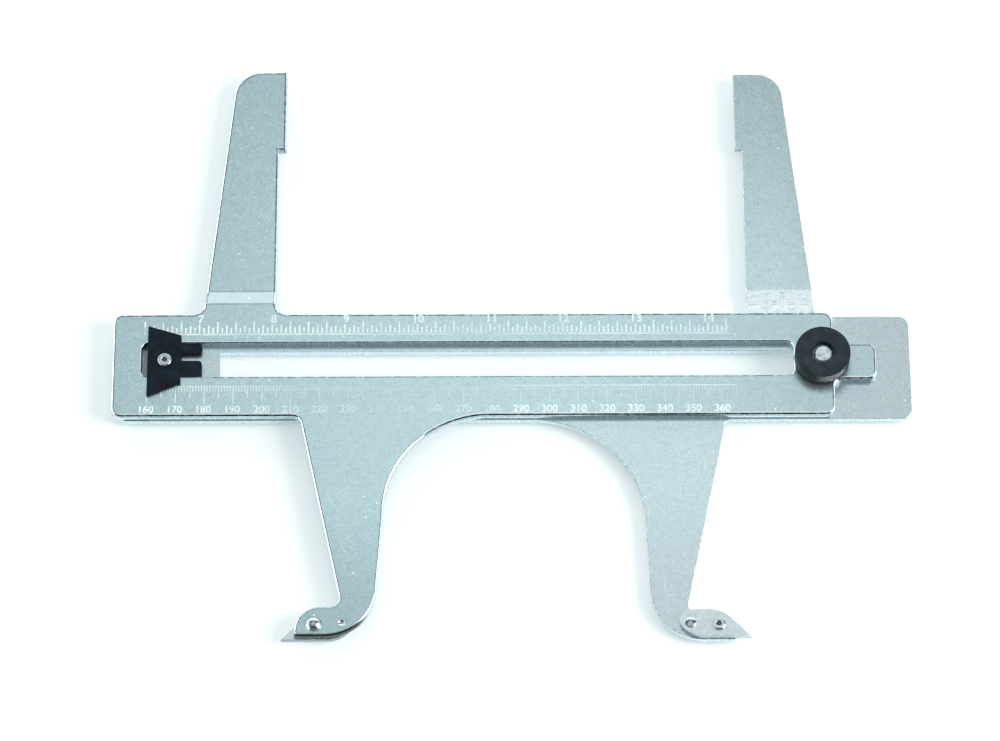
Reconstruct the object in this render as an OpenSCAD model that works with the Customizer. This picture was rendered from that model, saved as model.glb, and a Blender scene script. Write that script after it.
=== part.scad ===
// Sliding inside and outside caliper gauge: two stamped plates, clamped by a thumb nut.
// Millimetres, +X along the slide, +Y towards the jaws, +Z up from the surface it lies on.

/* [Plates] */
// Thickness of both stamped steel plates
plate_t = 3; // [2.5:0.1:4]
// Height of the front bar above the slide axis
bar_top = 18.5; // [16:0.1:18.6]
// Depth of the front bar below the slide axis
bar_low = 20.9; // [19.5:0.1:22]
// How far the rear bar stands out past the front bar, above and below
rear_over = 0; // [0:0.1:0.6]
// How far the rear bar lies below the front bar
rear_drop = 0.4; // [0:0.1:0.6]
// Radius of the bars' outer corners
bar_corner_r = 3.6; // [1:0.1:4]
// Length of the rear bar beyond the stud
rear_beyond = 31; // [26:0.1:40]
// How far the slider travels
travel = 205; // [190:1:215]

/* [Slots] */
// Width of the front plate's long slot
front_slot_w = 12.9; // [12.5:0.1:15]
// Height of the front slot's centre line above the slide axis
front_slot_y = 0.8; // [0:0.1:1.2]
// Width of the rear plate's long slot
rear_slot_w = 10; // [9:0.1:11]
// Corner radius at the ends of both slots
slot_corner_r = 2.5; // [1:0.1:4]
// Length of the front plate's tongue
tongue_l = 14.8; // [11:0.1:18]
// Width of the front plate's tongue
tongue_w = 13.8; // [11.5:0.1:14]
// How far the tongue's middle lies below the slide axis
tongue_drop = 0.5; // [0:0.1:1]
// Radius of the tongue's corners and of the fillets at its root
tongue_r = 3; // [1:0.1:4]

/* [Jaws] */
// Gap between the two jaw faces with the slider closed
jaw_gap = 160; // [152:1:164]
// Height of the jaws' ends above the slide axis
jaw_top = 114; // [105:0.1:120]
// Length of each jaw face
jaw_face_l = 30; // [20:0.1:40]
// How far a jaw face stands out from its arm
jaw_step = 2.5; // [1.5:0.1:4]
// Width of an arm where its joggle ends
arm_root_w = 25.4; // [23:0.1:28]
// Width of an arm at its free end
arm_end_w = 16.3; // [14:0.1:19]
// Radius of an arm's outer corner
arm_corner_r = 9; // [4:0.1:11]
// How much wider the front plate's arm is, at its outer edge
left_arm_out = 1.7; // [0:0.1:2]
// How much higher the front plate's arm ends
left_jaw_up = 1.7; // [0:0.1:2]
// Radius of the fillets between the arms and the bars
arm_fillet_r = 3.8; // [2:0.1:4.2]
// Height where the joggle of an arm begins, above the slide axis
joggle_y = 22.4; // [22.4:0.1:24]
// Length of the joggle
joggle_l = 5.5; // [4:0.1:8]

/* [Legs] */
// Distance between the two tip points with the slider closed
tip_spread = 160; // [152:1:164]
// Depth of the feet below the slide axis
leg_reach = 103.3; // [96:0.1:110]
// Distance from a tip point to its leg's outer edge at the bar
leg_root_x = 6.9; // [4:0.1:9]
// Distance from a tip point to its leg's outer edge at the foot
ankle_x = 22.1; // [20:0.1:23]
// Distance from a tip point to its leg's inner edge
leg_inner_x = 34.6; // [33:0.1:37]
// Radius of the arch between the front plate's leg and its bar
arch_r = 37; // [30:0.1:38]
// Radius of the arch between the rear plate's leg and its bar
rear_arch_r = 40; // [32:0.1:42]
// How much wider the rear plate's leg is, at its inner edge
right_leg_in = 0.5; // [0:0.1:1.5]
// How much wider the front plate's leg is, at its outer edge
left_leg_out = 1.8; // [0:0.1:2]
// Height of a foot
foot_h = 9.7; // [9.2:0.1:12]
// How much higher the top of the front plate's foot lies
left_foot_up = 1.8; // [0:0.1:2]
// How much higher the sole of the front plate's foot lies
left_sole_up = 0.6; // [0:0.1:1.5]
// Distance from a tip point to the foot's end
toe_x = 4.4; // [3:0.1:5]
// Radius of a foot's rounded end
toe_r = 9.2; // [7:0.1:9.6]
// Radius of the corner between a foot's end and its sole
toe_low_r = 1.8; // [1:0.1:2.5]
// Radius of a foot's heel
heel_r = 18; // [10:0.1:18]

/* [Tips] */
// Thickness of a hardened tip
tip_t = 2; // [1.5:0.1:2.5]
// Height of a tip
tip_h = 10; // [9:0.1:10.2]
// Length of a tip
tip_l = 24.3; // [23:0.1:26]
// Distance from a tip point to its rivet
tip_rivet_x = 11.1; // [10.6:0.1:12.5]
// Radius of the upper corner at a tip's round end
tip_end_r = 4; // [3.5:0.1:4.2]
// Shank diameter of the rivets
rivet_d = 3; // [2.5:0.1:3.4]
// Head diameter of the tip rivets
rivet_head_d = 5.9; // [5:0.1:6.5]
// Shank diameter of the tip pins
pin_d = 3.2; // [2.6:0.1:3.4]
// Head diameter of the tip pins
pin_head_d = 3.8; // [3.6:0.1:4.4]

/* [Cursor] */
// Thickness of the cursor's cover
cursor_t = 1.5; // [1.2:0.1:2]
// Length of the cursor's cover
cursor_l = 11.6; // [11:0.1:13]
// Height of the cover's reading edge above the slide axis
cursor_up = 13.2; // [12:0.1:14]
// Depth of the cover's reading edge below the slide axis
cursor_low = 13.4; // [12:0.1:14.5]
// Length of the two spring prongs
prong_l = 7.2; // [5:0.1:8]
// Thickness of the two spring prongs
prong_t = 2.4; // [1.8:0.1:2.4]
// Width of the slit between the prongs
slit_w = 2.8; // [2:0.1:4]

/* [Clamp] */
// Nominal diameter of the clamp stud
stud_d = 6; // [5:0.1:6.2]
// Diameter of the clamp bolt's head
bolt_head_d = 14; // [12.5:0.1:16]
// Diameter of the clamp washer
washer_d = 16; // [12:0.1:18]
// Thickness of the clamp washer
washer_t = 1; // [0.8:0.1:1.5]
// Diameter of the thumb nut
nut_d = 19.3; // [18:0.1:20]
// Height of the thumb nut
nut_h = 5.8; // [5:0.1:9]
// Diameter of the well in the top of the thumb nut
nut_well_d = 8; // [7.2:0.1:9]
// Height of every head below the rear plate, so that the gauge lies level
under_h = 1.8; // [1.4:0.1:2.4]

/* [Hidden] */
$fn = 96;

// Named clearances, and how far a cut runs past the face that it opens
slide_gap = 0.1;
thread_gap = 0.05;
loose_gap = 0.35;
grip = 0.4;
arc_bite = 0.02;
arch_bite = 0.1;
past = 1;

// Levels of the plates, and the height of the whole gauge
rear_z = under_h;
front_z = rear_z + plate_t;
face_z = front_z + plate_t;
jaw_z = rear_z + plate_t / 2;
whole_h = face_z + washer_t + nut_h;

// Cursor and its run in the front slot, from the front plate's left end
cursor_x = 12.4;
block_x = cursor_x + 1.2;
block_l = cursor_l - 1.2;
prong_end = cursor_x + cursor_l + prong_l;
slot_x = block_x - 3.2;
prong_room = 0.6 * slot_corner_r - 0.1;
slot_end = prong_end + travel + prong_room;
slit_up = 1.35;
slit_y = front_slot_y + slit_up;
cursor_rivet_in = 6;
cursor_rivet_x = cursor_x + cursor_rivet_in;
cursor_side = 3.6;
cursor_rivet_d = 5;

// Clamp stud, the rear slot that slides past it and the plates' ends
neck_x = 9;
stop_gap = 0.4;
stud_land = 9.7;
stud_inset = 1.2;
end_land = 4.4;
stud_x = slot_end + stud_land;
front_end = stud_x + end_land;
tongue_top = tongue_w / 2 - tongue_drop;
tongue_low = -tongue_w / 2 - tongue_drop;
rear_x = 2;
rear_end = stud_x + rear_beyond;
rear_slot_x = stud_x - neck_x / 2 - stop_gap - travel;
rear_slot_end = stud_x + neck_x / 2 + 1.7;
rear_slot_r = slot_corner_r / 2;
stud_hole_d = stud_d + 0.4;
stud_top = whole_h - stud_inset;
insert_d = nut_well_d + 2;
insert_h = nut_h - 2;

// Arms and legs
arm_start = bar_top / 2;
jaw_mid = 139.3;
tip_mid = 140.3;
jaw_left = jaw_mid - jaw_gap / 2;
jaw_right = jaw_mid + jaw_gap / 2;
tip_left = tip_mid - tip_spread / 2;
tip_right = tip_mid + tip_spread / 2;
foot_top = foot_h - leg_reach;
leg_overlap = 2;
left_heel_x = leg_inner_x - 3.4;
right_heel_x = leg_inner_x + right_leg_in - 2.1;
tip_y = 0.3 - leg_reach;
tip_rivet_y = tip_y + 0.45 * tip_h;
tip_pin_x = tip_l - 3.6;
tip_pin_y = tip_y + tip_h / 2;
tip_rivet_end_d = 4.7;

// The frame's origin is under the middle of the whole gauge
origin_x = rear_end / 2;
origin_y = (jaw_top + left_jaw_up - leg_reach) / 2;

function unit(v) = v / norm(v);

// x of an arm's outer edge at height y
function arm_outer(y) =
    -arm_root_w + (arm_root_w - arm_end_w) * (y - joggle_y - joggle_l) / (jaw_top - joggle_y - joggle_l);

module place(p) {
    translate([p[0] - origin_x, p[1] - origin_y, p[2]]) children();
}

// The corner p between the edges towards a and b, outside an arc of radius r.
// Added, it fills an inside corner. Taken away, it rounds an outside corner.
// The arc crosses both edges at a small angle, so it never ends in a sliver.
module corner_bit(p, a, b, r) {
    u = unit(a - p);
    v = unit(b - p);
    half = acos(u * v) / 2;
    c = p + unit(u + v) * (r - arc_bite) / sin(half);
    at_u = p + u * (r - arc_bite) / tan(half);
    at_v = p + v * (r - arc_bite) / tan(half);
    out_u = unit(at_u - c) * grip;
    out_v = unit(at_v - c) * grip;
    difference() {
        polygon([p + out_u + out_v, at_u + out_u, at_u, c, at_v, at_v + out_v]);
        translate(c) circle(r);
    }
}

module rounded_box(x0, x1, y0, y1, r) {
    translate([x0 + r, y0]) square([x1 - x0 - 2 * r, y1 - y0]);
    translate([x0, y0 + r]) square([x1 - x0, y1 - y0 - 2 * r]);
    for (x = [x0 + r, x1 - r], y = [y0 + r, y1 - r]) translate([x, y]) circle(r);
}

// One arm in the plane of the plates, its jaw face at x = 0, widened by out and lengthened by up
module arm_outline(out, up) {
    end = jaw_top + up;
    corner = [arm_outer(jaw_top) - out, end];
    foot = [arm_outer(0) - out, 0];
    difference() {
        polygon([foot, [-jaw_step, 0], [-jaw_step, jaw_top - jaw_face_l], [0, jaw_top - jaw_face_l],
                 [0, end], corner]);
        corner_bit(corner, [0, end], foot, arm_corner_r + out);
    }
}

// The two fillets where an arm leaves a bar whose upper edge is at y = top
module arm_fillets(top, out) {
    corner_bit([-jaw_step, top], [0, top], [-jaw_step, jaw_top], arm_fillet_r);
    outer = [arm_outer(top) - out, top];
    corner_bit(outer, outer - [arm_root_w, 0], [arm_outer(jaw_top) - out, jaw_top], arm_fillet_r);
}

// One arm bent over its joggle, from level z to the level of the jaws
module arm(z, out, up) {
    bend_y = joggle_y + joggle_l;
    end_y = jaw_top + up + past;
    intersection() {
        linear_extrude(whole_h) arm_outline(out, up);
        rotate([90, 0, 90]) translate([0, 0, -2 * arm_root_w]) linear_extrude(3 * arm_root_w)
            polygon([[arm_start, z], [joggle_y, z], [bend_y, jaw_z], [end_y, jaw_z],
                     [end_y, jaw_z + plate_t], [bend_y, jaw_z + plate_t],
                     [joggle_y, z + plate_t], [arm_start, z + plate_t]]);
    }
}

// One leg with its foot, its tip point at x = 0, below a bar that reaches down to low.
// The arch has radius r, the inner edge runs from inner to heel_x, out widens the
// outer edge, up lifts the foot's top and sole_up lifts its sole.
module leg_outline(low, r, inner, heel_x, out, up, sole_up) {
    sole = sole_up - leg_reach;
    top = foot_top + up;
    arch = [inner + r - arch_bite, arch_bite - low - r];
    knee = [inner, arch[1]];
    root = [leg_root_x - out, -low];
    ankle = [ankle_x - out, top];
    start = root + (root - ankle) * leg_overlap / (root[1] - ankle[1]);
    heel = [heel_x, sole];
    toe = [toe_x + toe_r, top - toe_r];
    difference() {
        union() {
            polygon([start, ankle, [toe[0], top], [toe[0], sole], heel, knee, arch,
                     [arch[0], leg_overlap - low]]);
            toe_outline(toe, sole);
            corner_bit(ankle, [toe[0], top], root, 3);
            corner_bit(root, root - [leg_root_x, 0], ankle, 3);
        }
        translate(arch) circle(r);
        corner_bit(heel, [0, sole], knee, heel_r);
    }
}

// The round end of a foot about the point toe, its corner rounded down to the sole
module toe_outline(toe, sole) {
    turn_y = sole + toe_low_r - arc_bite;
    turn_x = toe[0] - arc_bite - sqrt(pow(toe_r - toe_low_r, 2) - pow(toe[1] - turn_y, 2));
    touch_y = toe[1] + (turn_y - toe[1]) * toe_r / (toe_r - toe_low_r);
    difference() {
        intersection() {
            translate(toe) circle(toe_r);
            translate([0, sole]) square([toe[0] + past, 2 * toe_r]);
        }
        difference() {
            translate([0, sole - past]) square([turn_x, touch_y - sole + past]);
            translate([turn_x, turn_y]) circle(toe_low_r);
        }
    }
}

// One tip, its point at x = 0: a sloping nose, a straight lower edge that turns up
// in a wide arc, and a round end
module tip_outline() {
    nose_x = tip_h * sqrt(2);
    touch = tip_h / sqrt(2);
    end = [tip_l - tip_end_r, tip_h - tip_end_r];
    turn_x = nose_x + 1.6;
    run = end[0] - turn_x;
    turn_r = (run * run + end[1] * end[1] - tip_end_r * tip_end_r) / (2 * end[1] - 2 * tip_end_r);
    translate([0, tip_y]) {
        intersection() {
            translate([nose_x, 0]) circle(tip_h);
            translate([nose_x - tip_h, 0]) square([tip_h + 0.5, tip_h]);
        }
        polygon([[0, 0], [nose_x, 0], [nose_x - touch, touch]]);
        translate([nose_x, 0]) square([turn_x - nose_x, tip_h]);
        intersection() {
            translate([turn_x - 3 * arc_bite, turn_r - arc_bite]) circle(turn_r);
            polygon([[turn_x - 0.2, 0], [tip_l, 0], [tip_l, end[1] - tip_end_r], end, [end[0], tip_h],
                     [turn_x - 0.2, tip_h]]);
        }
        translate(end) circle(tip_end_r);
    }
}

// The rivet hole and the pin hole of one foot and its tip
module tip_holes() {
    translate([tip_rivet_x, tip_rivet_y]) circle(d = rivet_d);
    translate([tip_pin_x, tip_pin_y]) circle(d = pin_d);
}

module dome(d, h) {
    r = (d * d / 4 + h * h) / (2 * h);
    intersection() {
        translate([0, 0, h - r]) sphere(r);
        cylinder(d = 2 * d, h = h + 1);
    }
}

// A rivet standing on its domed head, its tubular end turned over at height h
module rivet(head_d, head_h, h, end_d) {
    tube = 0.8;
    turn = end_d / 2 - tube;
    difference() {
        union() {
            rotate([180, 0, 0]) dome(head_d, head_h);
            cylinder(d = rivet_d, h = h + 0.3);
            translate([0, 0, h]) rotate_extrude() intersection() {
                translate([turn, 0]) circle(tube);
                square([end_d, tube]);
            }
        }
        translate([0, 0, h - 0.9]) cylinder(d = 1.4, h = 0.9 + tube + past);
    }
}

// A pin whose low head is at its lower end, with a dimple in its other end
module pin(h) {
    difference() {
        union() {
            cylinder(d = pin_d, h = h);
            rotate([180, 0, 0]) dome(pin_head_d, 0.5);
        }
        translate([0, 0, h - 0.5]) cylinder(d1 = 0.8, d2 = 2.2, h = 0.6);
    }
}

module front_plate() color("silver") place([0, 0, 0]) difference() {
    union() {
        translate([0, 0, front_z]) linear_extrude(plate_t) {
            rounded_box(0, front_end, -bar_low, bar_top, bar_corner_r);
            rounded_box(stud_x - neck_x, front_end + tongue_l, tongue_low, tongue_top, tongue_r);
            for (edge_y = [tongue_low, tongue_top]) {
                corner_bit([front_end, edge_y], [front_end, sign(edge_y) * bar_top],
                           [front_end + tongue_l, edge_y], tongue_r);
            }
            translate([tip_left, 0])
                leg_outline(bar_low, arch_r, leg_inner_x, left_heel_x, left_leg_out, left_foot_up,
                            left_sole_up);
            translate([jaw_left, 0]) arm_fillets(bar_top, left_arm_out);
        }
        translate([jaw_left, 0, 0]) arm(front_z, left_arm_out, left_jaw_up);
    }
    linear_extrude(whole_h) {
        rounded_box(slot_x, slot_end, front_slot_y - front_slot_w / 2, front_slot_y + front_slot_w / 2,
                    slot_corner_r);
        translate([stud_x, 0]) circle(d = stud_hole_d);
        translate([tip_left, 0]) tip_holes();
    }
}

module rear_plate() color("gainsboro") place([0, 0, 0]) difference() {
    top = bar_top + rear_over - rear_drop;
    low = bar_low + rear_over + rear_drop;
    union() {
        translate([0, 0, rear_z]) linear_extrude(plate_t) {
            rounded_box(rear_x, rear_end, -low, top, bar_corner_r);
            translate([tip_right, 0]) mirror([1, 0])
                leg_outline(low, rear_arch_r, leg_inner_x + right_leg_in, right_heel_x, 0, 0, 0);
            translate([jaw_right, 0]) mirror([1, 0]) arm_fillets(top, 0);
        }
        translate([jaw_right, 0, 0]) mirror([1, 0, 0]) arm(rear_z, 0, 0);
    }
    linear_extrude(whole_h) {
        rounded_box(rear_slot_x, rear_slot_end, -rear_slot_w / 2, rear_slot_w / 2, rear_slot_r);
        translate([cursor_rivet_x, 0]) circle(d = rivet_d);
        translate([tip_right, 0]) mirror([1, 0]) tip_holes();
    }
}

module left_tip() color("lightgrey") place([tip_left, 0, front_z - tip_t]) linear_extrude(tip_t)
    difference() {
        tip_outline();
        tip_holes();
    }

module right_tip() color("lightgrey") place([tip_right, 0, front_z]) mirror([1, 0, 0])
    linear_extrude(tip_t) difference() {
        tip_outline();
        tip_holes();
    }

// The left rivet is put in from above and the right one from below
module left_tip_rivet() color("silver") place([tip_left + tip_rivet_x, tip_rivet_y, face_z])
    rotate([180, 0, 0]) rivet(rivet_head_d, under_h, plate_t + tip_t, tip_rivet_end_d);

module right_tip_rivet() color("silver") place([tip_right - tip_rivet_x, tip_rivet_y, rear_z])
    rivet(rivet_head_d, under_h, plate_t + tip_t, tip_rivet_end_d);

module left_tip_pin() color("silver") place([tip_left + tip_pin_x, tip_pin_y, front_z - tip_t])
    pin(plate_t + tip_t);

module right_tip_pin() color("silver") place([tip_right - tip_pin_x, tip_pin_y, front_z + tip_t])
    rotate([180, 0, 0]) pin(plate_t + tip_t);

module cursor() color("dimgrey") {
    high = front_slot_y + front_slot_w / 2 - slide_gap;
    low = front_slot_y - front_slot_w / 2 + slide_gap;
    place([cursor_x, 0, 0]) difference() {
        union() {
            translate([0, 0, face_z]) linear_extrude(cursor_t)
                polygon([[0, cursor_up], [0, -cursor_low], [cursor_l, cursor_side - cursor_low + 1],
                         [cursor_l, cursor_up - cursor_side]]);
            translate([block_x - cursor_x, low, front_z]) cube([block_l, high - low, plate_t + cursor_t / 2]);
            translate([0, 0, front_z]) linear_extrude(prong_t) {
                rounded_box(cursor_l - 4, cursor_l + prong_l, slit_y + slit_w / 2, high, 1.2);
                rounded_box(cursor_l - 4, cursor_l + prong_l, low, slit_y - slit_w / 2, 1.2);
            }
        }
        translate([cursor_rivet_x - cursor_x, 0, 0]) cylinder(d = rivet_d, h = whole_h);
    }
}

module cursor_rivet() color("silver") place([cursor_rivet_x, 0, rear_z])
    rivet(rivet_head_d, under_h, 2 * plate_t + cursor_t, cursor_rivet_d);

// A low round head, a neck that fills the rear slot and keeps the bolt from turning, and the stud
module clamp_bolt() color("silver") place([stud_x, 0, 0]) {
    neck_y = rear_slot_w - 2 * slide_gap;
    cylinder(d = bolt_head_d, h = under_h);
    translate([0, 0, under_h / 2]) linear_extrude(under_h / 2 + plate_t)
        rounded_box(-neck_x / 2, neck_x / 2, -neck_y / 2, neck_y / 2, rear_slot_r);
    translate([0, 0, under_h / 2]) cylinder(d = stud_d - 2 * thread_gap, h = stud_top - under_h / 2 - 0.6);
    translate([0, 0, stud_top - 0.6]) cylinder(d1 = stud_d - 2 * thread_gap, d2 = stud_d - 1.2, h = 0.6);
}

module clamp_washer() color("silver") place([stud_x, 0, face_z]) difference() {
    cylinder(d = washer_d, h = washer_t);
    translate([0, 0, -past]) cylinder(d = stud_d + 2 * loose_gap, h = washer_t + 2 * past);
}

// A cylinder, chamfered above and below, around its threaded insert
module thumb_nut() color("dimgrey") place([stud_x, 0, face_z + washer_t]) {
    edge = 0.35;
    difference() {
        union() {
            cylinder(d1 = nut_d - 2 * edge, d2 = nut_d, h = edge);
            translate([0, 0, edge]) cylinder(d = nut_d, h = nut_h - 2 * edge);
            translate([0, 0, nut_h - edge]) cylinder(d1 = nut_d, d2 = nut_d - 2 * edge, h = edge);
        }
        translate([0, 0, -past]) cylinder(d = nut_well_d, h = nut_h + 2 * past);
        translate([0, 0, -past]) cylinder(d = insert_d, h = insert_h + past);
    }
}

module nut_insert() color("silver") place([stud_x, 0, face_z + washer_t]) difference() {
    cylinder(d = insert_d, h = insert_h);
    translate([0, 0, -past]) cylinder(d = stud_d, h = insert_h + 2 * past);
}

front_plate();
rear_plate();
left_tip();
right_tip();
left_tip_rivet();
left_tip_pin();
right_tip_rivet();
right_tip_pin();
cursor();
cursor_rivet();
clamp_bolt();
clamp_washer();
thumb_nut();
nut_insert();
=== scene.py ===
from math import asin, cos, pi, radians, sin, tan

import bmesh
import bpy
from mathutils import Matrix, Vector


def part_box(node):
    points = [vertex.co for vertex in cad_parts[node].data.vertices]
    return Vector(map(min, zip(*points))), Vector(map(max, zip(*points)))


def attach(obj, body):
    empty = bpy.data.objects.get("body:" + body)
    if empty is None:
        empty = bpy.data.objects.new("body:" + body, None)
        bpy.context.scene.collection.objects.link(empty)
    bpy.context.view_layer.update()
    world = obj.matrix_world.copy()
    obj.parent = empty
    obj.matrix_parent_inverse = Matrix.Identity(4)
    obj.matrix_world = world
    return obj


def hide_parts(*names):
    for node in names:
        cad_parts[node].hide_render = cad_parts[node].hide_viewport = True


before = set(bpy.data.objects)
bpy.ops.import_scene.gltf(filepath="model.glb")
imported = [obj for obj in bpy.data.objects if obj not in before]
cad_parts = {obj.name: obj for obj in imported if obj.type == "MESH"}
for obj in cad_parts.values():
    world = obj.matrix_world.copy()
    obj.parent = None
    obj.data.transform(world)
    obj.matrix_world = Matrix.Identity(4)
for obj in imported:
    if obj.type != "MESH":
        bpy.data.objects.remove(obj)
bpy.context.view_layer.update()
mm = 0.001


# Front plate: the fixed half of the gauge, with the left jaw arm, the left leg and the long slot.
# Stamped from 3 mm steel sheet, so its face edges are rolled over and its walls are sheared.
# Bright zinc plated: a pale blue-grey skin with a fine speckle, a few scratches and dust specks.
def empty_finish(name):
    made = bpy.data.materials.new(name)
    made.use_nodes = True
    return made, made.node_tree, made.node_tree.nodes["Principled BSDF"]


def fill(tree, socket, value):
    """Give a shader socket a value, or a link from another node."""
    if isinstance(value, bpy.types.NodeSocket):
        tree.links.new(value, socket)
    else:
        socket.default_value = value


def put(tree, node, **sockets):
    """Fill a shader node's sockets by their names."""
    for name, value in sockets.items():
        fill(tree, node.inputs[name.replace("_", " ")], value)
    return node


def add(tree, kind, **sockets):
    return put(tree, tree.nodes.new("ShaderNode" + kind), **sockets)


def noise(tree, place, scale, detail, roughness=0.5):
    made = add(tree, "TexNoise", Vector=place, Scale=scale, Detail=detail, Roughness=roughness)
    return made.outputs[0]


def span(tree, value, low, high, to_low=0.0, to_high=1.0):
    """Spread one range of a value over another, clamped at both ends."""
    node = add(tree, "MapRange", Value=value, From_Min=low, From_Max=high)
    return put(tree, node, To_Min=to_low, To_Max=to_high).outputs[0]


def fade(tree, value, low, high):
    """1 below a range of a value, falling to 0 above it."""
    return span(tree, value, low, high, 1.0, 0.0)


def worked_out(tree, operation, a, b):
    node = add(tree, "Math")
    node.operation = operation
    fill(tree, node.inputs[0], a)
    fill(tree, node.inputs[1], b)
    return node.outputs[0]


def product(tree, a, b):
    return worked_out(tree, "MULTIPLY", a, b)


def greater(tree, a, b):
    return worked_out(tree, "MAXIMUM", a, b)


def colours(tree, share, first, second, blend="MIX"):
    """A colour between two others, or the first multiplied by the second; each a colour or a link."""
    node = tree.nodes.new("ShaderNodeMix")
    node.data_type = "RGBA"
    node.blend_type = blend
    fill(tree, node.inputs["Factor"], share)
    # This node takes colours at its inputs 6 and 7 only, and gives one at its output 2.
    for socket, value in zip(node.inputs[6:8], (first, second)):
        fill(tree, socket, value if isinstance(value, bpy.types.NodeSocket) else (*value, 1.0))
    return node.outputs[2]


def shade(colour, by):
    return tuple(part * by for part in colour)


def dented(tree, shader, height, strength, depth):
    dents = add(tree, "Bump", Height=height, Strength=strength, Distance=depth)
    put(tree, shader, Normal=dents.outputs[0])


wear_and_glint_tone = (0.88, 0.95, 0.95)
scratch_size = (9 * mm, 0.3 * mm, 1.0)
rubbed_end_x = 112 * mm
# Height above which the painted shade at the slot's left end lies.
recess_shade_z = 4.4 * mm


def zinc_finish(name, tone, grain, scratch_turns, sparkle, shade_drifts=(), rubbed_y=None, recess_shade_x=None):
    """Zinc plating: a fine speckle over faint clouds, with scratches at some angles, specks and sparkle.

    Each drift (axis, start, end, by) darkens the plating by a factor from one place along an axis to
    another: painted shade, where the light falls off across the plate.
    A band between two places rubbed_y is worn pale as far as rubbed_end_x, and what lies left of a given
    place along X and above a given height is darkened: painted shade where the slot's left end is in
    shadow.
    """
    made, tree, shader = empty_finish(name)
    place = add(tree, "TexCoord").outputs["Object"]
    x, y, z = add(tree, "SeparateXYZ", Vector=place).outputs
    speckle = noise(tree, place, 1500.0, 3.0, 0.7)
    mottle = noise(tree, place, 420.0, 4.0, 0.7)
    clouds = span(tree, mottle, 0.3, 0.7)
    strong = 1.7 * grain
    pale = colours(tree, clouds, shade(tone, 1 + grain), shade(tone, 1 + strong))
    dark = colours(tree, clouds, shade(tone, 1 - strong), shade(tone, 1 - grain))
    skin = colours(tree, span(tree, speckle, 0.25, 0.75), dark, pale)
    # Painted shade: the plating darkens along each drift, where the light falls off across the plate.
    for axis, start, end, by in shade_drifts:
        skin = colours(tree, span(tree, (x, y)[axis], start, end), skin, by, "MULTIPLY")
    patches = span(tree, noise(tree, place, 45.0, 1.0), 0.5, 0.62, 0.2, 1.0)
    # Sparkle: pale dots painted into the colour, painted glints; the scratches and specks are real wear
    # and dust.
    grit = noise(tree, place, 1100.0, 1.0)
    marks = product(tree, span(tree, grit, 0.66, 0.74, 0.0, sparkle), patches)
    for turn in scratch_turns:
        stroke = add(tree, "Mapping", Vector=place, Rotation=(0, 0, radians(turn)), Scale=scratch_size)
        stroke.vector_type = "TEXTURE"
        line = noise(tree, stroke.outputs[0], 1.0, 0.0)
        marks = greater(tree, marks, product(tree, span(tree, line, 0.75, 0.82), patches))
    dots = add(tree, "TexVoronoi", Vector=place, Scale=240.0)
    chance = add(tree, "SeparateColor", Color=dots.outputs["Color"]).outputs[0]
    chosen = span(tree, chance, 0.72, 0.76)
    specks = product(tree, fade(tree, dots.outputs["Distance"], 0.06, 0.12), chosen)
    wear_and_glints = product(tree, greater(tree, marks, specks), 0.7)
    if rubbed_y:
        low, high = rubbed_y
        band = product(tree, span(tree, y, low, low + mm, 0.0, 0.8), fade(tree, y, high, high + mm))
        band = product(tree, band, fade(tree, x, rubbed_end_x, rubbed_end_x + 2 * mm))
        wear_and_glints = greater(tree, wear_and_glints, product(tree, band, span(tree, mottle, 0.35, 0.6, 0.3, 1.0)))
    # Painted shade: left of the given place, the plate's top is darkened where the slot's left end lies in
    # shadow.
    if recess_shade_x:
        on_top = span(tree, z, recess_shade_z, recess_shade_z + 0.3 * mm)
        recess_shade = product(tree, fade(tree, x, recess_shade_x, recess_shade_x + mm), on_top)
        skin = colours(tree, recess_shade, skin, shade(tone, 0.4))
    put(tree, shader, Base_Color=colours(tree, wear_and_glints, skin, wear_and_glint_tone), Metallic=1.0)
    put(tree, shader, Roughness=span(tree, speckle, 0.3, 0.7, 0.3, 0.38))
    dented(tree, shader, speckle, 0.3, 0.03 * mm)
    return made


nowhere_y = -1.0


def soil(tree, below):
    """How much painted shade a surface gets: only the sides that face -Y, and only below a place along Y.
    """
    spot = add(tree, "TexCoord").outputs
    height = add(tree, "SeparateXYZ", Vector=spot["Object"]).outputs[1]
    facing = add(tree, "SeparateXYZ", Vector=spot["Normal"]).outputs[1]
    return product(tree, fade(tree, height, below, below + 4 * mm), fade(tree, facing, -0.5, -0.3))


def sheared_finish(name, tone, shaded_below_y=nowhere_y):
    """A punched wall: bright and bare, streaked along the punch's way, with painted shade below a given
    place along Y.
    """
    made, tree, shader = empty_finish(name)
    place = add(tree, "TexCoord").outputs["Object"]
    along = add(tree, "Mapping", Vector=place, Scale=(1800, 1800, 150))
    streak = noise(tree, along.outputs[0], 1.0, 3.0)
    bare = colours(tree, span(tree, streak, 0.3, 0.7), shade(tone, 0.8), tone)
    shaded_wall = colours(tree, span(tree, streak, 0.4, 0.6), shade(tone, 0.04), shade(tone, 0.2))
    # Painted shade: below the given place, walls facing -Y take a near-black colour.
    put(tree, shader, Base_Color=colours(tree, soil(tree, shaded_below_y), bare, shaded_wall), Metallic=1.0)
    put(tree, shader, Roughness=span(tree, streak, 0.3, 0.7, 0.2, 0.32))
    dented(tree, shader, streak, 0.25, 0.03 * mm)
    return made


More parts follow.
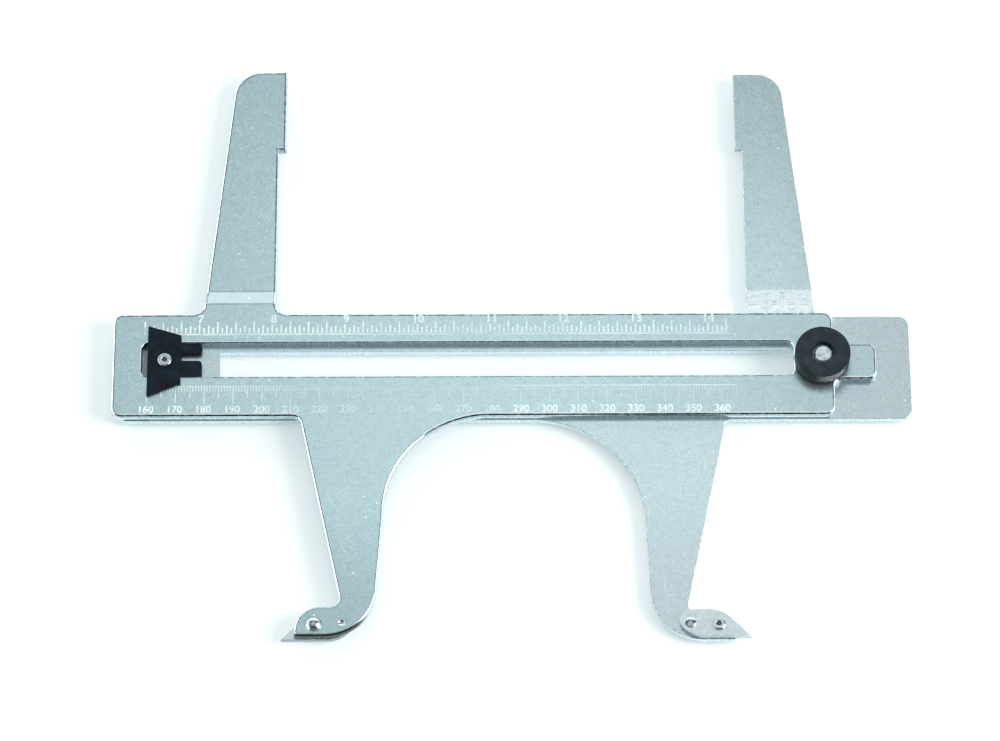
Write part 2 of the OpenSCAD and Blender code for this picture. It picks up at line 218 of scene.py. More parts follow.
def rolled_finish(name, tone, rim_dark, share, shaded_below_y=nowhere_y, upper=1.0, lower=0.35):
    """A rolled edge: one tone, with a share of a darker tone broken along it in dashes, painted shade and
    dirt.

    The dark share is weighted by upper on the bar and arms and by lower on the leg; -Y sides get painted
    shade low down.
    """
    made, tree, shader = empty_finish(name)
    place = add(tree, "TexCoord").outputs["Object"]
    dashes = noise(tree, place, 620.0, 3.0, 0.6)
    height = add(tree, "SeparateXYZ", Vector=place).outputs[1]
    weight = span(tree, height, -45 * mm, -28 * mm, lower, upper)
    # Painted shade: dark dashes broken along the rim, with some dirt.
    dark_share = product(tree, span(tree, dashes, 0.42, 0.66, share, 0.0), weight)
    broken = colours(tree, dark_share, tone, rim_dark)
    # Painted shade: below the given place, facets facing -Y take a near-black colour.
    put(tree, shader, Base_Color=colours(tree, soil(tree, shaded_below_y), broken, shade(tone, 0.06)))
    put(tree, shader, Metallic=1.0, Roughness=span(tree, dashes, 0.3, 0.7, 0.22, 0.3))
    return made


def rounded(work, edges, offset, segments):
    made = bmesh.ops.bevel(work, geom=edges, offset=offset, offset_type="OFFSET", segments=segments,
                           profile=0.5, affect="EDGES", material=-1,
                           clamp_overlap=False, loop_slide=False)
    return made["faces"]


def merged_solid(node):
    """A copy of a solid as one closed skin with whole flat faces."""
    work = bmesh.new()
    work.from_mesh(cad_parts[node].data)
    bmesh.ops.remove_doubles(work, verts=work.verts[:], dist=0.001 * mm)
    bmesh.ops.dissolve_limit(work, angle_limit=radians(0.5), verts=work.verts[:], edges=work.edges[:])
    return work


def rim_edges(work, side):
    """The edges between walls and the faces that look up (side 1) or down (side -1)."""
    found = []
    for edge in work.edges:
        tilts = sorted((face.normal.z * side for face in edge.link_faces), reverse=True)
        if len(tilts) == 2 and tilts[0] > 0.7 and abs(tilts[1]) < 0.3:
            found.append(edge)
    return found


def bend_edges(work):
    """The edges where the sheet itself is bent."""
    found = []
    for edge in work.edges:
        if len(edge.link_faces) == 2 and all(abs(face.normal.z) > 0.9 for face in edge.link_faces):
            if edge.calc_face_angle() > radians(8):
                found.append(edge)
    return found


def show(work, name, body, finishes, replaced=None, sharp=50):
    """Make a worked mesh a piece of the gauge on one of its bodies, in place of a node if one is named."""
    mesh = bpy.data.meshes.new(name)
    work.to_mesh(mesh)
    work.free()
    for finish in finishes:
        mesh.materials.append(finish)
    mesh.shade_smooth()
    mesh.set_sharp_from_angle(angle=radians(sharp))
    piece = bpy.data.objects.new(name, mesh)
    bpy.context.scene.collection.objects.link(piece)
    even = piece.modifiers.new("even_shading", "WEIGHTED_NORMAL")
    even.keep_sharp = True
    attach(piece, body)
    if replaced:
        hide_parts(replaced)


def middle(node):
    low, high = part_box(node)
    return (low + high) / 2


# The last two are the shaded and the lit rims: painted shade and painted highlight.
face_skin, wall_skin, joggle_skin, shaded_roll, lit_roll = range(5)
# The left foot's sole lies below sole_y, and the slot's edges within slot_reach of the stud along Y.
sole_y = -104 * mm
slot_reach = 8 * mm
slot_roll_share = 0.6
hole_r = 2.2 * mm
bend_r = 0.4 * mm
hole_break = 0.1 * mm


def roll_skin(face, at_slot):
    """The finish of one facet of a rolled edge, chosen by the way it tilts and faces: the lit copy, a
    painted highlight, or the shaded copy, painted shade.
    """
    tilt = abs(face.normal.z)
    facing = face.normal.xy.normalized().y
    if at_slot and abs(facing) < 0.8:
        bright = True
    elif facing < -0.8 and face.calc_center_median().y > sole_y:
        bright = tilt > 0.95 or 0.25 < tilt < 0.6
    else:
        bright = 0.25 < tilt < (0.8 if facing > 0.5 else 0.93)
    return lit_roll if bright else shaded_roll


def stamped_plate(node, name, body, finishes, roll_up, roll_down, fixings):
    """A plate with its bends and its edges rounded, apart from the holes of its fixings.

    The finishes are those of its faces, its walls and its joggle, then the shaded and the lit ones
    of its rolled edges, painted shade and painted highlight.
    """
    work = merged_solid(node)
    rounded(work, bend_edges(work), bend_r, 3)
    holes = [middle(fixing).xy for fixing in fixings]
    stud = middle("clamp_bolt")
    for side, roll in ((1, roll_up), (-1, roll_down)):
        for at_slot, share in ((True, slot_roll_share), (False, 1.0)):
            rims = []
            for edge in rim_edges(work, side):
                inside = all(abs(v.co.y - stud.y) < slot_reach and v.co.x < stud.x for v in edge.verts)
                plain = all((edge.verts[0].co.xy - hole).length > hole_r for hole in holes)
                if plain and inside == at_slot:
                    rims.append(edge)
            for face in rounded(work, rims, share * roll, 5):
                face.normal_update()
                face.material_index = roll_skin(face, at_slot)
        rounded(work, rim_edges(work, side), hole_break, 1)
    for face in work.faces:
        tilt = abs(face.normal.z)
        if face.material_index == face_skin and tilt < 0.98:
            face.material_index = wall_skin if tilt < 0.1 else joggle_skin
    show(work, name, body, finishes, node)


zinc_tone = (0.44, 0.6, 0.63)
bend_tone = (0.45, 0.565, 0.58)
bare_tone = (0.78, 0.92, 0.98)
rim_highlight_tone = (0.82, 0.9, 0.92)
rim_shade_tone = (0.035, 0.06, 0.075)
# Painted shade: the front plate darkens towards its right end and down its leg.
front_shade_drifts = ((0, 20 * mm, 100 * mm, (0.96, 0.91, 0.91)),
                (1, -60 * mm, -95 * mm, (0.8, 0.81, 0.81)))
front_zinc = zinc_finish("front_zinc", zinc_tone, 0.16, (28, 118), 0.35, front_shade_drifts)
# The left joggle's plating is a darker copy of the face's: painted shade on the slope.
front_bend = zinc_finish("front_bend", bend_tone, 0.1, (28,), 0.1)
front_shear = sheared_finish("front_shear", bare_tone, sole_y)
# The rims carry a shaded and a lit copy of the plating, chosen by facet direction: painted shade and
# painted highlight.
shaded_rim = rolled_finish("shaded_rim", shade(zinc_tone, 0.8), rim_shade_tone, 0.9, sole_y)
lit_rim = rolled_finish("lit_rim", rim_highlight_tone, shade(zinc_tone, 0.8), 0.3, sole_y)
stamped_plate("front_plate", "stamped_front_plate", "beam",
              (front_zinc, front_shear, front_bend, shaded_rim, lit_rim),
              roll_up=1.0 * mm, roll_down=0.15 * mm, fixings=("left_tip_rivet", "left_tip_pin"))


# Rear plate: the sliding half behind the front plate, with the right jaw arm, the right leg and a slot.
# The same stamped and zinc plated steel, turned over, so its burred edges look up and stay sharp.
# Its joggle is painted white, a painted reflection of the light on the slope, with streaks across the arm.
def galled_finish(name, tone, sheen_fleck_tone):
    made, tree, shader = empty_finish(name)
    place = add(tree, "TexCoord").outputs["Object"]
    across = add(tree, "Mapping", Vector=place, Scale=(160, 1500, 1))
    streak = noise(tree, across.outputs[0], 1.0, 3.0, 0.7)
    grit = noise(tree, place, 1500.0, 2.0)
    # Painted reflection: the slope takes a bright bare tone with pale flecks, streaked darker across the
    # arm.
    rubbed = colours(tree, span(tree, streak, 0.36, 0.5), shade(tone, 0.48), tone)
    sheen_flecked = colours(tree, span(tree, grit, 0.4, 0.62), rubbed, sheen_fleck_tone)
    put(tree, shader, Base_Color=sheen_flecked, Metallic=1.0)
    put(tree, shader, Roughness=span(tree, grit, 0.3, 0.7, 0.3, 0.5))
    dented(tree, shader, streak, 0.4, 0.05 * mm)
    return made


rear_tone = (0.49, 0.62, 0.65)
rear_rim_shade = (0.07, 0.07, 0.07)
# Painted shade: the rear plate darkens at its right end, up its arm and down its leg.
rear_shade_drifts = ((0, 95 * mm, 112 * mm, (0.94, 0.89, 0.9)),
               (1, 30 * mm, 105 * mm, (0.84, 0.87, 0.87)),
               (1, -60 * mm, -90 * mm, (0.94, 0.89, 0.9)))
rear_zinc = zinc_finish("rear_zinc", rear_tone, 0.16, (86, 12), 0.6, rear_shade_drifts,
                        rubbed_y=(8 * mm, 17 * mm), recess_shade_x=-126.5 * mm)
rear_shear = sheared_finish("rear_shear", bare_tone)
# The rear rims: a pale tone with dark dashes, painted highlight and painted shade.
rear_rim = rolled_finish("rear_rim", rim_highlight_tone, rear_rim_shade, 0.95, upper=0.5, lower=0.8)
rear_joggle_sheen = galled_finish("rear_joggle_sheen", bare_tone, (0.88, 0.95, 0.97))
stamped_plate("rear_plate", "stamped_rear_plate", "slider",
              (rear_zinc, rear_shear, rear_joggle_sheen, rear_rim, rear_rim),
              roll_up=0.2 * mm, roll_down=0.6 * mm,
              fixings=("right_tip_rivet", "right_tip_pin", "cursor_rivet"))


# Scales: millimetres below the slot and inches above it, both reading at the cursor's left edge.
# Shallow etched lines and numerals on the front plate's face, pale and unevenly worn.
first_reading = 160
last_reading = 365
face_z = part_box("front_plate")[1].z
slide_y = middle("clamp_bolt").y
zero_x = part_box("cursor")[0].x - first_reading * mm
mark_rise = 0.012 * mm
mark_tone = (0.9, 0.97, 0.98)


def etched_finish(name, worn_from, worn_to, weak, end):
    """Pale marks, worn to a share weak between two places along the bar, and to a share end beyond."""
    made, tree, shader = empty_finish(name)
    place = add(tree, "TexCoord").outputs["Object"]
    broad = noise(tree, place, 70.0, 2.0)
    fine = noise(tree, place, 520.0, 3.0, 0.7)
    x = add(tree, "SeparateXYZ", Vector=place).outputs[0]
    fading = 30 * mm
    wearing = span(tree, x, worn_from - fading, worn_from, 1.0, weak)
    along = greater(tree, wearing, span(tree, x, worn_to, worn_to + fading, 0.0, end))
    spotted = product(tree, span(tree, broad, 0.34, 0.6, 0.55, 1.0), span(tree, fine, 0.26, 0.5))
    kept = product(tree, spotted, along)
    put(tree, shader, Base_Color=colours(tree, kept, shade(zinc_tone, 1.06), mark_tone))
    put(tree, shader, Roughness=0.5, Metallic=fade(tree, kept, 0.0, 0.5))
    return made


def mark(work, x, y, width, height):
    """A straight etched line, centred on a place of the face."""
    size = Matrix.Diagonal((width, height, 2 * mark_rise, 1))
    bmesh.ops.create_cube(work, size=1, matrix=Matrix.Translation((x, y, face_z)) @ size)


def numeral(work, number, height, x, foot_y):
    """A plain number, centred on x and standing on foot_y."""
    letters = bpy.data.curves.new("numeral", "FONT")
    letters.body = str(number)
    letters.extrude = 0.5
    letters.offset = 0.016
    holder = bpy.data.objects.new("numeral", letters)
    mesh = bpy.data.meshes.new_from_object(holder)
    low = Vector(map(min, *(v.co for v in mesh.vertices)))
    high = Vector(map(max, *(v.co for v in mesh.vertices)))
    size = height / (high.y - low.y)
    centre = Matrix.Translation((-(low.x + high.x) / 2, -low.y, 0))
    flat = Matrix.Diagonal((size, size, 2 * mark_rise, 1))
    mesh.transform(Matrix.Translation((x, foot_y, face_z)) @ flat @ centre)
    work.from_mesh(mesh)
    bpy.data.meshes.remove(mesh)
    bpy.data.objects.remove(holder)
    bpy.data.curves.remove(letters)


millimetre_line = slide_y - 9.5 * mm
millimetre_foot = slide_y - 19.6 * mm
millimetre_number_h = 2.8 * mm
tick_width = 0.3 * mm
base_width = 0.32 * mm
ticks = bmesh.new()
numbers = bmesh.new()
for reading in range(first_reading, last_reading + 1):
    x = zero_x + reading * mm
    length = 1.9 * mm
    if reading % 10 == 0:
        length = 6.2 * mm
        numeral(numbers, reading, millimetre_number_h, x, millimetre_foot)
    elif reading % 5 == 0:
        length = 4.4 * mm
    mark(ticks, x, millimetre_line - length / 2, tick_width, length)
base = bmesh.new()
line_middle = zero_x + (first_reading + last_reading) / 2 * mm
mark(base, line_middle, millimetre_line, (last_reading - first_reading) * mm, base_width)
tick_etch = etched_finish("tick_etch", -75 * mm, 40 * mm, 0.3, 0.3)
number_etch = etched_finish("number_etch", -72 * mm, -30 * mm, 0.35, 0.9)
base_etch = etched_finish("base_etch", -75 * mm, -20 * mm, 0.3, 0.95)
show(ticks, "millimetre_ticks", "beam", (tick_etch,))
show(numbers, "millimetre_numbers", "beam", (number_etch,))
show(base, "millimetre_base", "beam", (base_etch,))

sixteenth = 25.4 / 16 * mm
first_sixteenth = 100
last_sixteenth = 228
inch_line = slide_y + 10.5 * mm
inch_foot = slide_y + 14.9 * mm
inch_shift = 0.5 * mm
inch_number_h = 3.1 * mm
inch_width = 0.5 * mm
inches = bmesh.new()
for count in range(first_sixteenth, last_sixteenth + 1):
    x = zero_x + count * sixteenth
    length = 2.6 * mm
    if count % 16 == 0:
        length = 3.9 * mm
        numeral(inches, count // 16, inch_number_h, x + inch_shift, inch_foot)
    elif count % 4 == 0:
        length = 4.9 * mm
    elif count % 2 == 0:
        length = 3.5 * mm
    mark(inches, x, inch_line + length / 2, inch_width, length)
line_middle = zero_x + (first_sixteenth + last_sixteenth + 1) / 2 * sixteenth
mark(inches, line_middle, inch_line, (last_sixteenth - first_sixteenth) * sixteenth, inch_width)
inch_etch = etched_finish("inch_etch", -40 * mm, 60 * mm, 0.65, 0.65)
show(inches, "inch_scale", "beam", (inch_etch,))


# Hooked tips: small hardened steel beaks that reach inside, one under the left foot, one on the right.
# Blanked from 2 mm strip, ground at the nose, and plated like the plates but a little brighter.
def bright_steel(name, tone, roughness, mottle=0.1):
    made, tree, shader = empty_finish(name)
    place = add(tree, "TexCoord").outputs["Object"]
    fine = noise(tree, place, 2200.0, 2.0)
    broad = noise(tree, place, 560.0, 3.0)
    uneven = colours(tree, span(tree, broad, 0.3, 0.7), shade(tone, 1 - mottle), shade(tone, 1 + mottle))
    put(tree, shader, Base_Color=uneven, Metallic=1.0)
    put(tree, shader, Roughness=span(tree, fine, 0.3, 0.7, roughness - 0.05, roughness + 0.07))
    dented(tree, shader, fine, 0.2, 0.02 * mm)
    return made


tip_zinc = bright_steel("tip_zinc", (0.54, 0.63, 0.65), 0.36)
# The tips' walls are darker copies of the bare wall, the left one most: painted shade under the left foot.
for side, body, wall_shade in (("left", "beam", 0.45), ("right", "slider", 0.8)):
    tip_shear = sheared_finish(side + "_tip_shear", shade(bare_tone, wall_shade))
    work = merged_solid(side + "_tip")
    rounded(work, rim_edges(work, 1), 0.2 * mm, 3)
    rounded(work, rim_edges(work, -1), 0.1 * mm, 1)
    for face in work.faces:
        face.material_index = 1 if abs(face.normal.z) < 0.1 else 0
    show(work, side + "_hooked_tip", body, (tip_zinc, tip_shear), side + "_tip")


# Rivets: tubular rivets for the tips and the cursor, domed at one end and turned over at the other, with
# a plain pin beside each tip's rivet. Bright plated steel, headed cold, so the domes are smooth and the
# turned-over lips have a dark hole in the middle.
def turned(corners, centre):
    """A turned piece: corners (radius, height, rounding) in a row, spun about an upright axis."""
    work = bmesh.new()
    points = [work.verts.new((radius, 0, height)) for radius, height, _ in corners]
    for one, other in zip(points, points[1:]):
        work.edges.new((one, other))
    for point, (_, _, rounding) in zip(points, corners):
        if rounding:
            bmesh.ops.bevel(work, geom=[point], offset=rounding, offset_type="OFFSET", segments=6,
                            profile=0.5, affect="VERTICES", material=-1, clamp_overlap=False)
    bmesh.ops.spin(work, geom=work.verts[:] + work.edges[:], cent=(0, 0, 0), axis=(0, 0, 1),
                   angle=2 * pi, steps=48, use_merge=True)
    bmesh.ops.remove_doubles(work, verts=work.verts[:], dist=0.002 * mm)
    bmesh.ops.recalc_face_normals(work, faces=work.faces[:])
    bmesh.ops.translate(work, verts=work.verts[:], vec=centre)
    return work


def axis_of(node):
    """The foot of a node's upright axis, on the floor."""
    return Vector((*middle(node).xy, 0))


def dome_corners(diameter, height, base, way):
    """The corners of a low dome, from its top to the edge of its flat base at height base."""
    ball = (diameter ** 2 / 4 + height ** 2) / (2 * height)
    reach = ball * tan(asin(diameter / 2 / ball) / 2)
    top = base + way * height
    nearly = 0.999
    return (0, top, 0), (reach, top, reach * nearly), (diameter / 2, base, 0)


rivet_head_d = 5.9 * mm
rivet_head_h = 1.8 * mm
rivet_shank_r = 1.5 * mm
rivet_hole_r = 0.85 * mm
rivet_hole_depth = 2.6 * mm
lip_rise = 0.8 * mm


def rivet(name, node, body, lip_up, grip, lip_d):
    """A rivet whose dome sits at one end of its grip, with a turned-over lip at the other."""
    low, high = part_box(node)
    way = 1 if lip_up else -1
    base = low.z + rivet_head_h if lip_up else high.z - rivet_head_h
    lip = base + way * grip
    brow = lip + way * lip_rise
    bottom = lip - way * rivet_hole_depth
    corners = [*dome_corners(rivet_head_d, rivet_head_h, base, -way),
               (rivet_shank_r, base, 0), (rivet_shank_r, lip, 0),
               (lip_d / 2, lip, 0.1 * mm), (lip_d / 2, brow, 0.7 * mm),
               (rivet_hole_r, brow, 0.35 * mm), (rivet_hole_r, bottom, 0), (0, bottom, 0)]
    show(turned(corners, axis_of(node)), name, body, (bright_plate,), node, sharp=40)


pin_head_d = 3.8 * mm
pin_head_h = 0.5 * mm
pin_shank_r = 1.6 * mm
dimple_depth = 0.5 * mm
dimple_rim_r = 1.1 * mm
dimple_floor_r = 0.4 * mm


def pin(name, node, body, head_up):
    """A plain pin with a low dome at one end and a centre dimple in the other."""
    low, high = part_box(node)
    way = 1 if head_up else -1
    base = high.z - pin_head_h if head_up else low.z + pin_head_h
    foot = low.z if head_up else high.z
    dimple = foot + way * dimple_depth
    corners = [*dome_corners(pin_head_d, pin_head_h, base, way),
               (pin_shank_r, base, 0), (pin_shank_r, foot, 0.15 * mm),
               (dimple_rim_r, foot, 0.1 * mm), (dimple_floor_r, dimple, 0), (0, dimple, 0)]
    show(turned(corners, axis_of(node)), name, body, (bright_plate,), node, sharp=40)


bright_plate = bright_steel("bright_plate", (0.42, 0.49, 0.51), 0.2)
plate_t = 3 * mm
tip_t = 2 * mm
cover_t = 1.5 * mm
tip_grip = plate_t + tip_t
tip_lip_d = 4.7 * mm
cursor_grip = 2 * plate_t + cover_t
cursor_lip_d = 5 * mm
rivet("left_tubular_rivet", "left_tip_rivet", "beam", False, tip_grip, tip_lip_d)
rivet("right_tubular_rivet", "right_tip_rivet", "slider", True, tip_grip, tip_lip_d)
pin("left_locating_pin", "left_tip_pin", "beam", False)
pin("right_locating_pin", "right_tip_pin", "slider", True)
rivet("cursor_tubular_rivet", "cursor_rivet", "slider", True, cursor_grip, cursor_lip_d)


# Cursor: a black cover that reads both scales with its left edge, a block and two prongs in the slot.
# Moulded in one piece of matt black plastic, and riveted through to the rear plate.
def black_finish(name, tone, roughness, gloss):
    made, tree, shader = empty_finish(name)
    place = add(tree, "TexCoord").outputs["Object"]
    spark = noise(tree, place, 1700.0, 3.0, 0.7)
    broad = noise(tree, place, 260.0, 3.0)
    mottled = colours(tree, span(tree, broad, 0.3, 0.7), shade(tone, 0.3), shade(tone, 1.7))
    put(tree, shader, Base_Color=mottled, Specular_IOR_Level=gloss)
    put(tree, shader, Roughness=span(tree, spark, 0.3, 0.7, roughness - 0.06, roughness + 0.08))
    dented(tree, shader, spark, 0.3, 0.04 * mm)
    return made


matt_black = black_finish("matt_black", (0.002, 0.008, 0.016), 0.5, 0.15)
work = merged_solid("cursor")
corners = [edge for edge in work.edges if edge.is_convex and edge.calc_face_angle(0) > radians(25)]
rounded(work, corners, 0.14 * mm, 2)
show(work, "moulded_cursor", "slider", (matt_black,), "cursor")


# Clamp bolt: a low round head under the rear plate, a neck that fills the rear slot, and an M6 stud.
# Turned and plated steel; the thread is rolled, and the stud's end is cut flat inside the nut's well.
turned_steel = bright_steel("turned_steel", (0.42, 0.5, 0.53), 0.3, 0.45)
stud_at = axis_of("clamp_bolt")
stud_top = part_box("clamp_bolt")[1].z - 0.15 * mm
head_r = 7 * mm
head_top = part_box("rear_plate")[0].z
running_gap = 0.02 * mm
head_face = head_top - running_gap
head_corners = [(0, 0, 0), (head_r, 0, 0.5 * mm), (head_r, head_face, 0.2 * mm), (0, head_face, 0)]
work = turned(head_corners, stud_at)

rear_top = head_top + plate_t
neck_foot = head_top / 2
neck_long = 9 * mm
neck_wide = 9.8 * mm
neck_corner_r = 1.25 * mm
neck_size = Matrix.Diagonal((neck_long, neck_wide, rear_top - neck_foot, 1))
neck_at = Matrix.Translation(stud_at + Vector((0, 0, (neck_foot + rear_top) / 2)))
neck = bmesh.ops.create_cube(work, size=1, matrix=neck_at @ neck_size)["verts"]
upright = [edge for edge in work.edges if all(v in neck for v in edge.verts)
           and abs(edge.verts[0].co.z - edge.verts[1].co.z) > mm]
rounded(work, upright, neck_corner_r, 5)

pitch = 1 * mm
crest = 2.95 * mm
root = 2.45 * mm
thread_corners = ((root, 0), (root, 0.12), (crest, 0.44), (crest, 0.56), (root, 0.88), (root, 1))
thread_foot = rear_top - 2 * pitch
turns = int((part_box("clamp_bolt")[1].z - rear_top) / pitch) + 3
steps_a_turn = 40
stud = bmesh.new()
profile = [stud.verts.new((radius, 0, thread_foot + share * pitch)) for radius, share in thread_corners]
for one, other in zip(profile, profile[1:]):
    stud.edges.new((one, other))
bmesh.ops.spin(stud, geom=stud.verts[:] + stud.edges[:], cent=(0, 0, 0), axis=(0, 0, 1),
               angle=2 * pi * turns, steps=steps_a_turn * turns, dvec=(0, 0, pitch / steps_a_turn))
bmesh.ops.remove_doubles(stud, verts=stud.verts[:], dist=0.003 * mm)
for height, way in ((rear_top, -1), (stud_top, 1)):
    bmesh.ops.bisect_plane(stud, geom=stud.verts[:] + stud.edges[:] + stud.faces[:],
                           plane_co=(0, 0, height), plane_no=(0, 0, way), clear_outer=True)
    rim = [edge for edge in stud.edges if edge.is_boundary
           and all(abs(v.co.z - height) < 0.001 * mm for v in edge.verts)]
    bmesh.ops.edgeloop_fill(stud, edges=rim)
bmesh.ops.recalc_face_normals(stud, faces=stud.faces[:])
bmesh.ops.translate(stud, verts=stud.verts[:], vec=stud_at)
stud_mesh = bpy.data.meshes.new("stud")
stud.to_mesh(stud_mesh)
stud.free()
work.from_mesh(stud_mesh)
bpy.data.meshes.remove(stud_mesh)
show(work, "threaded_clamp_bolt", "beam", (turned_steel,), "clamp_bolt", sharp=40)


# Clamp washer and nut insert: a thin plated washer on the front plate, and the threaded bush in the nut.
# Both are turned rings; the bush is pressed into the nut, and its top shows at the bottom of the well.
def ring(name, node, body, inner, rounding, finish):
    low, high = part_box(node)
    outer = (high.x - low.x) / 2
    corners = [(inner, low.z, 0), (outer, low.z, rounding), (outer, high.z, rounding),
               (inner, high.z, 0), (inner, low.z, 0)]
    show(turned(corners, axis_of(node)), name, body, (finish,), node)


# The bush is darker than the other steel: painted shade at the bottom of the nut's well, where its top
# shows.
dark_steel = bright_steel("dark_steel", (0.16, 0.19, 0.21), 0.36)
washer_hole_r = 3.35 * mm
bush_hole_r = 3.0 * mm
ring("plated_washer", "clamp_washer", "washer", washer_hole_r, 0.2 * mm, turned_steel)
ring("threaded_bush", "nut_insert", "nut", bush_hole_r, 0.15 * mm, dark_steel)


# Thumb nut: a black disc with a slanted knurl round its side, a chamfered rim and a well in its top.
# Moulded plastic with a satin skin; the ridges at the front right are painted pale, a painted glint of the
# light.
nut_black = (0.006, 0.015, 0.023)
ridge_glint_tone = (0.75, 0.8, 0.82)
satin_black = black_finish("satin_black", nut_black, 0.36, 0.3)
crest_glint_black = black_finish("crest_glint_black", nut_black, 0.25, 0.6)
# Painted glint: the ridge crests at the front right take a pale colour.
tree = crest_glint_black.node_tree
shader = tree.nodes["Principled BSDF"]
x, y, z = add(tree, "SeparateXYZ", Vector=add(tree, "TexCoord").outputs["Object"]).outputs
to_right = span(tree, x, stud_at.x - 3 * mm, stud_at.x + mm)
to_front = fade(tree, y, stud_at.y - 7 * mm, stud_at.y - 5 * mm)
glint_mask = product(tree, product(tree, to_right, to_front), span(tree, z, 9.4 * mm, 11 * mm))
black = shader.inputs["Base Color"].links[0].from_socket
put(tree, shader, Base_Color=colours(tree, glint_mask, black, ridge_glint_tone))


def raised(work, ring_edges, rise, turn=0.0):
    """Extrude a ring of edges upward, turning it about its axis."""
    out = bmesh.ops.extrude_edge_only(work, edges=ring_edges)["geom"]
    verts = [part for part in out if isinstance(part, bmesh.types.BMVert)]
    bmesh.ops.rotate(work, verts=verts, cent=(0, 0, 0), matrix=Matrix.Rotation(turn, 3, "Z"))
    bmesh.ops.translate(work, verts=verts, vec=(0, 0, rise))
    return [part for part in out if isinstance(part, bmesh.types.BMEdge)]


def circled(ring_edges, radius):
    """Draw a ring of edges in or out to a round one."""
    for vertex in {v for edge in ring_edges for v in edge.verts}:
        vertex.co.xy *= radius / vertex.co.xy.length


nut_low, nut_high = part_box("thumb_nut")
nut_r = (nut_high.x - nut_low.x) / 2
ridges = 72
knurl_depth = 0.45 * mm
ridge_corners = ((0, nut_r - knurl_depth), (0.36, nut_r), (0.64, nut_r))
knurl_turn = radians(40)
levels = 9
chamfer = 0.2 * mm
well_r = 4 * mm
socket_r = well_r + 1 * mm
stud_clearance_r = 3.3 * mm
well_rim_h = 0.45 * mm
bush_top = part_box("nut_insert")[1].z
work = bmesh.new()
points = []
for ridge in range(ridges):
    for share, radius in ridge_corners:
        angle = (ridge + share) * 2 * pi / ridges
        points.append(work.verts.new((radius * cos(angle), radius * sin(angle), nut_low.z + chamfer)))
foot_ring = [work.edges.new((one, other)) for one, other in zip(points, points[1:] + points[:1])]
climb = (nut_high.z - nut_low.z - 2 * chamfer) / levels
top_ring = foot_ring
for level in range(levels):
    top_ring = raised(work, top_ring, climb, knurl_turn / levels)
# Over the chamfered rim, in across the top, down the well with its rounded rim, and in to the stud.
for rise, radius in ((chamfer * 0.6, nut_r - chamfer * 0.75), (chamfer * 0.4, nut_r - chamfer * 1.5),
                     (0, well_r + 0.5 * mm), (-well_rim_h / 3, well_r + 0.12 * mm),
                     (-well_rim_h * 2 / 3, well_r), (bush_top - nut_high.z + well_rim_h, well_r),
                     (0, stud_clearance_r)):
    top_ring = raised(work, top_ring, rise)
    circled(top_ring, radius)
low_ring = foot_ring
# Under the lower rim, in across the bottom, up the socket of the bush, and in to the stud.
for rise, radius in ((-chamfer, nut_r - chamfer * 1.3), (0, socket_r),
                     (bush_top - nut_low.z, socket_r), (0, stud_clearance_r)):
    low_ring = raised(work, low_ring, rise)
    circled(low_ring, radius)
bmesh.ops.remove_doubles(work, verts=work.verts[:], dist=0.002 * mm)
bmesh.ops.recalc_face_normals(work, faces=work.faces[:])
for face in work.faces:
    if all(vertex.co.xy.length > nut_r - 0.05 * mm for vertex in face.verts):
        face.material_index = 1
bmesh.ops.translate(work, verts=work.verts[:], vec=stud_at)
show(work, "knurled_thumb_nut", "nut", (satin_black, crest_glint_black), "thumb_nut",
     sharp=38)


# Studio: a white sheet in a dim room, with pale walls low down all round, the one in front faint.
# A lamp at the right throws the soft shadows; a canopy and a small lamp overhead light the flat metal.
# The camera looks down at 65 degrees from in front, through a long lens.
floor_mesh = bpy.data.meshes.new("white_floor")
work = bmesh.new()
bmesh.ops.create_grid(work, x_segments=1, y_segments=1, size=4)
work.to_mesh(floor_mesh)
work.free()
floor = bpy.data.objects.new("white_floor", floor_mesh)
bpy.context.scene.collection.objects.link(floor)
paper, tree, shader = empty_finish("white_paper")
put(tree, shader, Base_Color=(0.7, 0.7, 0.7, 1), Roughness=0.9, Specular_IOR_Level=0.1)
path = add(tree, "LightPath").outputs
mirrored = greater(tree, path["Is Glossy Ray"], path["Is Transmission Ray"])
seen = greater(tree, path["Is Camera Ray"], mirrored)
glow = add(tree, "Emission", Color=(0.82, 0.98, 1, 1), Strength=product(tree, seen, 0.38))
both = add(tree, "AddShader")
tree.links.new(shader.outputs[0], both.inputs[0])
tree.links.new(glow.outputs[0], both.inputs[1])
tree.links.new(both.outputs[0], tree.nodes["Material Output"].inputs[0])
floor_mesh.materials.append(paper)

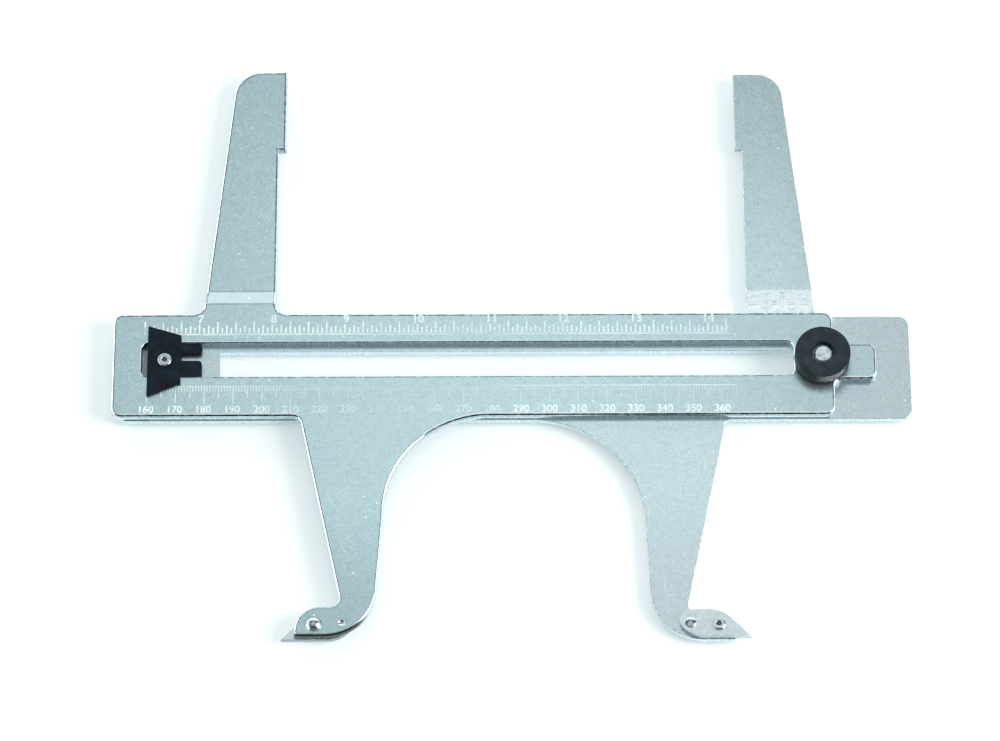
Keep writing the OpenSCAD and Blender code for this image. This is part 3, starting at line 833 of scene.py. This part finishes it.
sky = bpy.data.worlds.new("dim_room")
sky.use_nodes = True
tree = sky.node_tree
dim_light = 0.09
toward = add(tree, "TexCoord").outputs["Generated"]
right, back, up = add(tree, "SeparateXYZ", Vector=toward).outputs
canopy = product(tree, span(tree, up, 0.8, 0.88, 0.0, 0.9), span(tree, back, -0.35, -0.15, 0.45, 1.0))
low_down = fade(tree, up, 0.55, 0.66)
back_wall = span(tree, back, 0.6, 0.75, 0.0, 2.3)
left_wall = span(tree, right, -0.75, -0.55, 2.3, 0.0)
right_wall = span(tree, right, 0.7, 0.85, 0.0, 1.4)
front_wall = span(tree, back, -0.75, -0.6, 0.35, 0.0)
lit = canopy
for wall in (back_wall, left_wall, right_wall, front_wall):
    lit = greater(tree, lit, product(tree, low_down, wall))
path = add(tree, "LightPath").outputs
strength = greater(tree, lit, span(tree, path["Is Camera Ray"], 0.0, 1.0, dim_light, 1.0))
room = colours(tree, span(tree, strength, dim_light, 0.4), (0.5, 0.82, 1.0), (0.97, 0.99, 1))
put(tree, tree.nodes["Background"], Color=room, Strength=strength)
bpy.context.scene.world = sky


def softbox(name, place, size, radiance):
    """A rectangular lamp that faces the gauge, as bright to look at as radiance times a white wall."""
    lamp = bpy.data.lights.new(name, "AREA")
    lamp.shape = "RECTANGLE"
    lamp.size, lamp.size_y = size
    lamp.energy = radiance * pi * size[0] * size[1]
    holder = bpy.data.objects.new(name, lamp)
    holder.location = place
    holder.rotation_euler = (-Vector(place)).to_track_quat("-Z", "Y").to_euler()
    bpy.context.scene.collection.objects.link(holder)


softbox("key_lamp", (1.32, -0.3, 0.95), (0.9, 0.9), 8.4)
softbox("overhead_lamp", (0.04, 0.36, 0.9), (0.4, 0.35), 0.85)

elevation = radians(65)
turn = radians(0.22)
distance = 1592 * mm
aim = Vector((-3.98, -9.95, 7.8)) * mm
forward = Vector((sin(turn) * cos(elevation), cos(turn) * cos(elevation), -sin(elevation)))
eye = bpy.data.cameras.new("camera")
eye.sensor_width = 36
eye.sensor_fit = "HORIZONTAL"
eye.lens = 164.6
eye.clip_end = 20
camera = bpy.data.objects.new("camera", eye)
camera.location = aim - forward * distance
camera.rotation_euler = forward.to_track_quat("-Z", "Y").to_euler()
bpy.context.scene.collection.objects.link(camera)
bpy.context.scene.camera = camera
bpy.context.scene.view_settings.view_transform = "Standard"
